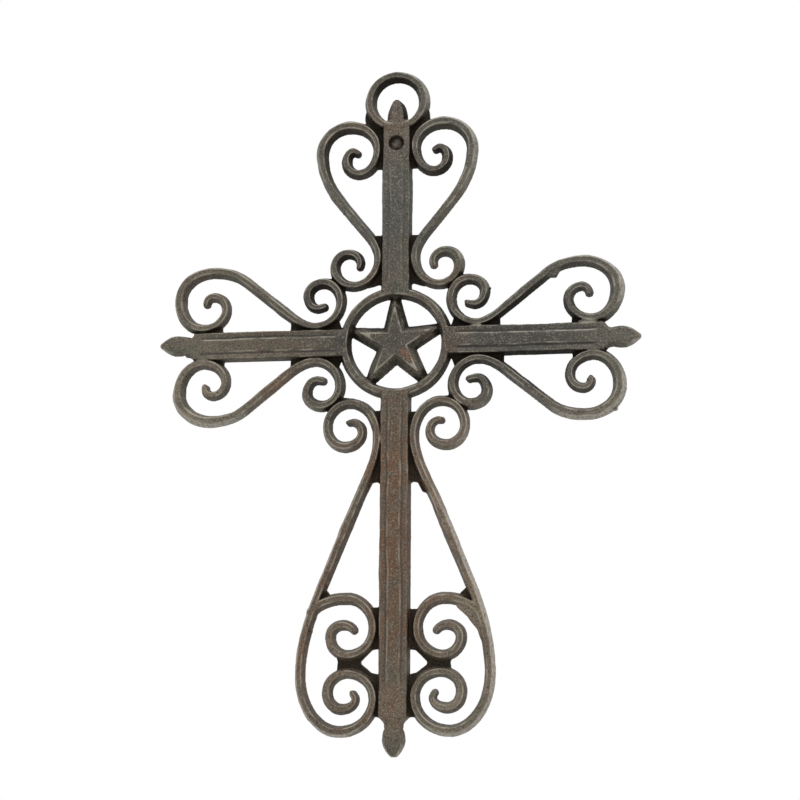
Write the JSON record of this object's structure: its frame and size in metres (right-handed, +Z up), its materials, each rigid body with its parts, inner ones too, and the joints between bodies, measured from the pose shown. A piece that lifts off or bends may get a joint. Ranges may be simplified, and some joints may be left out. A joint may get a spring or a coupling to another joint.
{
  "type": "cast iron wall cross",
  "caption": "Flat-backed cast iron wall cross with grooved bars, a ringed star at the crossing, scrollwork in the corners, spear ends and a hanging ring on top.",
  "frame": {"origin": "top of the hanging ring's eye on the flat back, where the nail bears", "axes": "+Z up along the cross, +X to the right seen from the front, the front faces -Y and the flat back lies in Y = 0"},
  "size_m": [0.235, 0.0054, 0.3338],
  "materials": {
    "cast_iron": "dark grey-brown cast iron with a fine sandy skin, near-black recesses, olive and reddish brown tints and lighter worn edges"
  },
  "bodies": {
    "root": {"cross": "cast_iron"}
  },
  "joints": []
}
